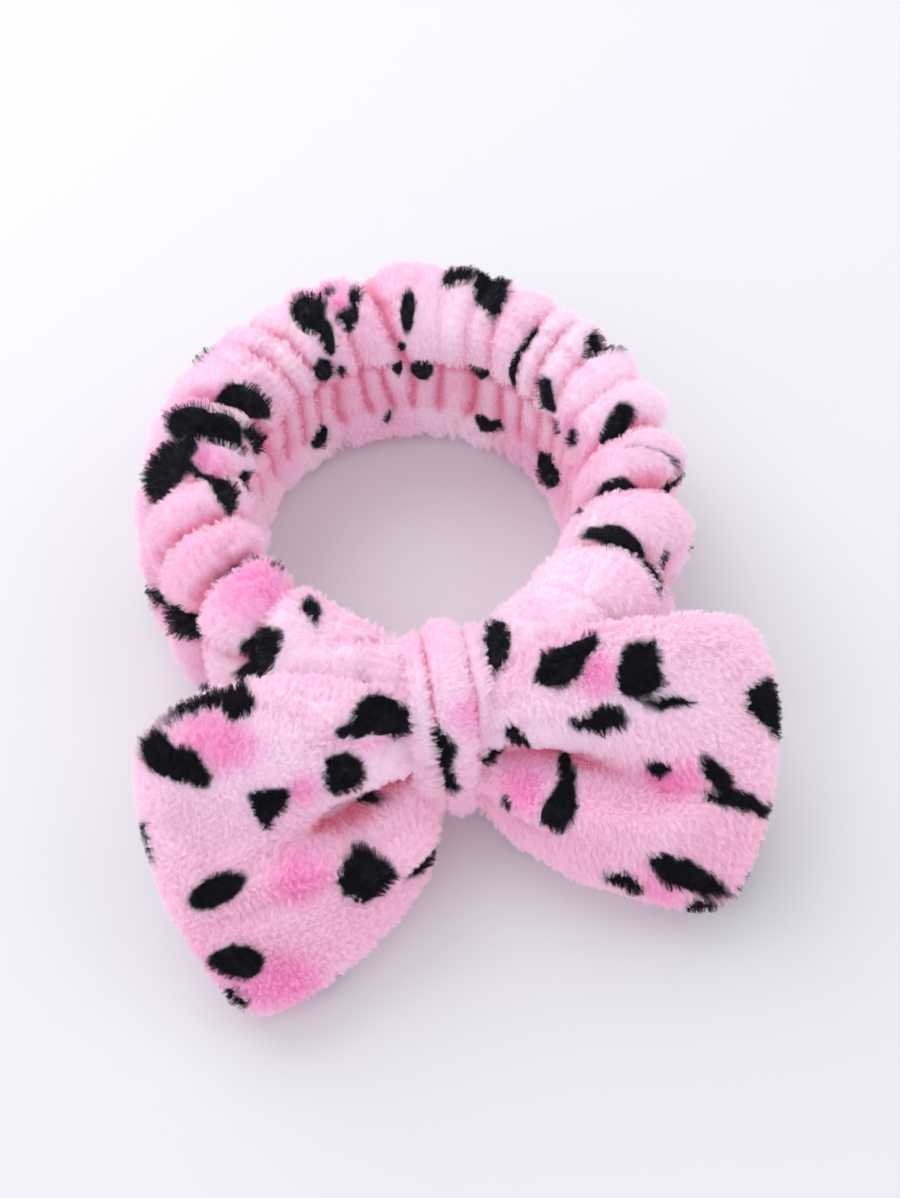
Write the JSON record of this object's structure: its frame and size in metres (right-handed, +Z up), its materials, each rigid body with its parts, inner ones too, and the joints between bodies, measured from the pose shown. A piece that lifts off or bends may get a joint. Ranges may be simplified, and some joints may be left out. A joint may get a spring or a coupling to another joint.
{
  "type": "spa headband",
  "caption": "Stretch fleece headband for face washing: a gathered sleeve on an elastic loop with a padded bow wrapped to its front.",
  "frame": {"origin": "centre of the head opening at half the band's height", "axes": "+Z up as it lies on a table, out of the head opening; -Y towards the bow at the front; +X to the right seen from the front"},
  "size_m": [0.2075, 0.2481, 0.0641],
  "materials": {
    "printed_fleece": "plush pile, pink with charcoal spots and hot pink patches",
    "pink_thread": "spun polyester sewing thread",
    "white_thread": "spun polyester sewing thread",
    "white_elastic": "woven ribbed elastic",
    "white_wadding": "loose polyester fibre"
  },
  "bodies": {
    "band": {"fleece_sleeve": "printed_fleece", "sleeve_long_seam": "pink_thread", "sleeve_end_seam": "pink_thread", "elastic_loop": "white_elastic", "elastic_lap_stitches": "white_thread", "bow_waist": "printed_fleece", "tie_thread": "pink_thread", "knot_wrap": "printed_fleece", "knot_wrap_seam": "pink_thread"},
    "left_wing": {"bow_wing_left": "printed_fleece", "wing_padding_left": "white_wadding", "wing_seam_left": "pink_thread"},
    "right_wing": {"bow_wing_right": "printed_fleece", "wing_padding_right": "white_wadding", "wing_seam_right": "pink_thread"}
  },
  "joints": [
    {"name": "left_wing_fold", "type": "hinge", "parent": "band", "child": "left_wing", "pos_m": [-0.018, -0.09316, 0.00688], "axis": [0, 0.342, 0.9397], "range_deg": [0, 50], "stiffness_Nm_per_rad": 0.01},
    {"name": "right_wing_fold", "type": "hinge", "parent": "band", "child": "right_wing", "pos_m": [0.018, -0.09316, 0.00688], "axis": [0, -0.342, -0.9397], "range_deg": [0, 50], "stiffness_Nm_per_rad": 0.01}
  ]
}
